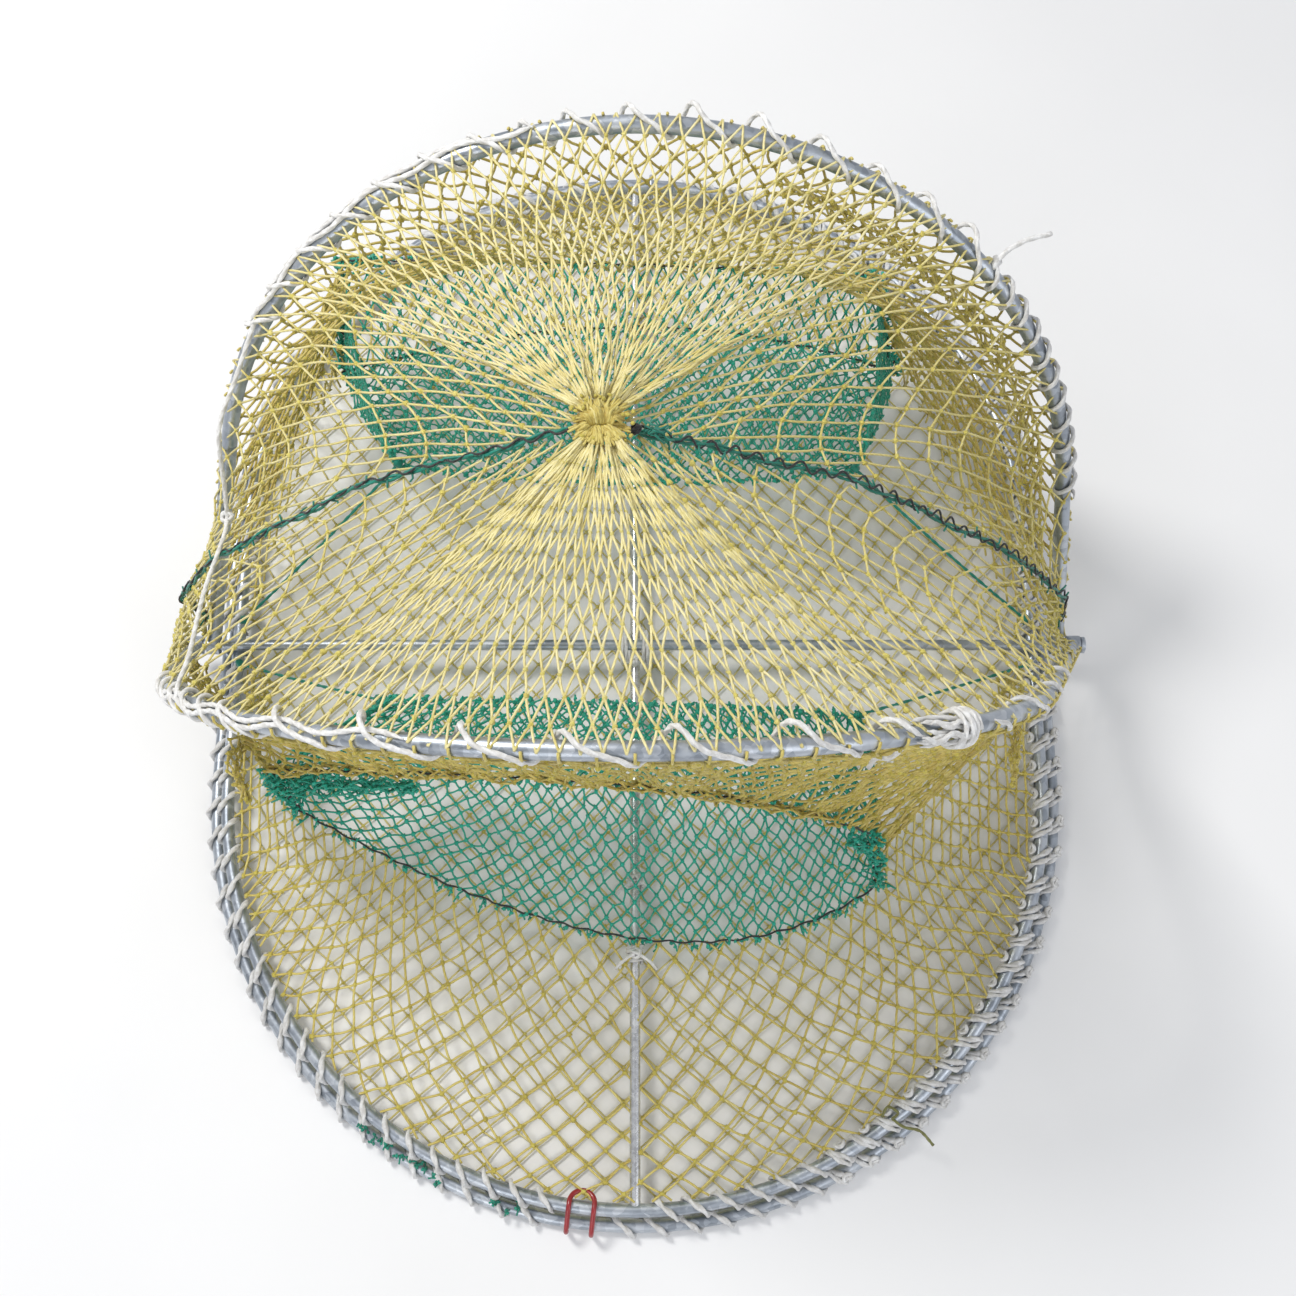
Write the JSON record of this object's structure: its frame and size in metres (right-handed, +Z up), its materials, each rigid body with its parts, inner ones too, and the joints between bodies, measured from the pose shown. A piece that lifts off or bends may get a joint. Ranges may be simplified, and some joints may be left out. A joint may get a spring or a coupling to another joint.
{
  "type": "folding netted fish trap",
  "caption": "Folding oval fish and crab trap: hinged steel rings, steel arches that fold flat, yellow netting, green entrance funnels and a gathered top.",
  "frame": {"origin": "on the ground under the middle of the frame", "axes": "+X along the hinge crossbar, -Y towards the front entrance, +Z up"},
  "size_m": [0.5044, 0.6256, 0.3063],
  "materials": {
    "galvanised_rod": "galvanised, dull with a grey bloom",
    "bright_rod": "bright drawn wire",
    "yellow_netting": "knotted polyethylene twine, pale straw to olive gold",
    "green_netting": "fine knotted polyethylene thread, teal green",
    "white_cord": "twisted polyethylene cord, off white, greyed",
    "black_thread": "waxed black sewing twine",
    "green_cord": "twisted green polyethylene cord",
    "red_wire": "dark red coated wire"
  },
  "bodies": {
    "floor_frame": {"floor_ring": "galvanised_rod", "floor_net": "yellow_netting", "floor_lashing": "white_cord", "hinge_loops": "galvanised_rod"},
    "body_frame": {"body_ring": "galvanised_rod", "body_lashing": "white_cord", "crossbar": "galvanised_rod", "long_rod": "bright_rod", "rod_cross_tie": "white_cord", "front_sill_tie": "white_cord", "back_sill_tie": "white_cord", "front_lower_net": "yellow_netting", "front_funnel_ramp": "green_netting", "front_funnel_roof": "green_netting", "front_sill_thread": "black_thread", "front_funnel_stays": "green_cord", "back_lower_net": "yellow_netting", "back_funnel_ramp": "green_netting", "back_funnel_roof": "green_netting", "back_sill_thread": "black_thread", "back_funnel_stays": "green_cord"},
    "arch_front": {"front_arch": "galvanised_rod", "front_arch_lashing": "white_cord", "front_upper_net": "yellow_netting", "top_net_front": "yellow_netting", "side_stay_front": "white_cord"},
    "arch_back": {"back_arch": "galvanised_rod", "back_arch_lashing": "white_cord", "back_upper_net": "yellow_netting", "top_net_back": "yellow_netting", "side_stay_back": "white_cord"},
    "gather_front": {"gather_knot": "yellow_netting", "seam_cord": "green_cord"},
    "gather_back": {"seam_thread": "black_thread"},
    "clip": {"release_clip": "red_wire"}
  },
  "joints": [
    {"name": "body_lift", "type": "hinge", "parent": "floor_frame", "child": "body_frame", "pos_m": [0, 0.3, 0.0135], "axis": [-1, 0, 0], "range_deg": [0, 95]},
    {"name": "front_arch_fold", "type": "hinge", "parent": "body_frame", "child": "arch_front", "pos_m": [0, 0, 0.0226], "axis": [1, 0, 0], "range_deg": [0, 64], "deforming": ["front_upper_net", "top_net_front", "side_stay_front", "front_lower_net", "front_funnel_ramp", "front_funnel_roof", "front_sill_thread", "front_funnel_stays"]},
    {"name": "back_arch_fold", "type": "hinge", "parent": "body_frame", "child": "arch_back", "pos_m": [0, 0, 0.0226], "axis": [-1, 0, 0], "range_deg": [0, 57], "deforming": ["back_upper_net", "top_net_back", "side_stay_back", "back_lower_net", "back_funnel_ramp", "back_funnel_roof", "back_sill_thread", "back_funnel_stays"]},
    {"name": "gather_front_drop", "type": "slide", "parent": "arch_front", "child": "gather_front", "axis": [0, 0.0189, -0.9998], "range_m": [0, 0.2526], "deforming": ["seam_cord"]},
    {"name": "gather_back_drop", "type": "slide", "parent": "arch_back", "child": "gather_back", "axis": [0, -0.1326, -0.9912], "range_m": [0, 0.2524], "deforming": ["seam_thread"]},
    {"name": "clip_swing", "type": "hinge", "parent": "body_frame", "child": "clip", "pos_m": [-0.02742, -0.29832, 0.0135], "axis": [-0.9925, 0.1219, 0], "range_deg": [0, 100]}
  ],
  "couplings": [
    {"joint": "back_arch_fold", "follows": "front_arch_fold", "ratio": 0.89062},
    {"joint": "gather_front_drop", "follows": "front_arch_fold", "m_per_rad": 0.226},
    {"joint": "gather_back_drop", "follows": "front_arch_fold", "m_per_rad": 0.22581}
  ]
}
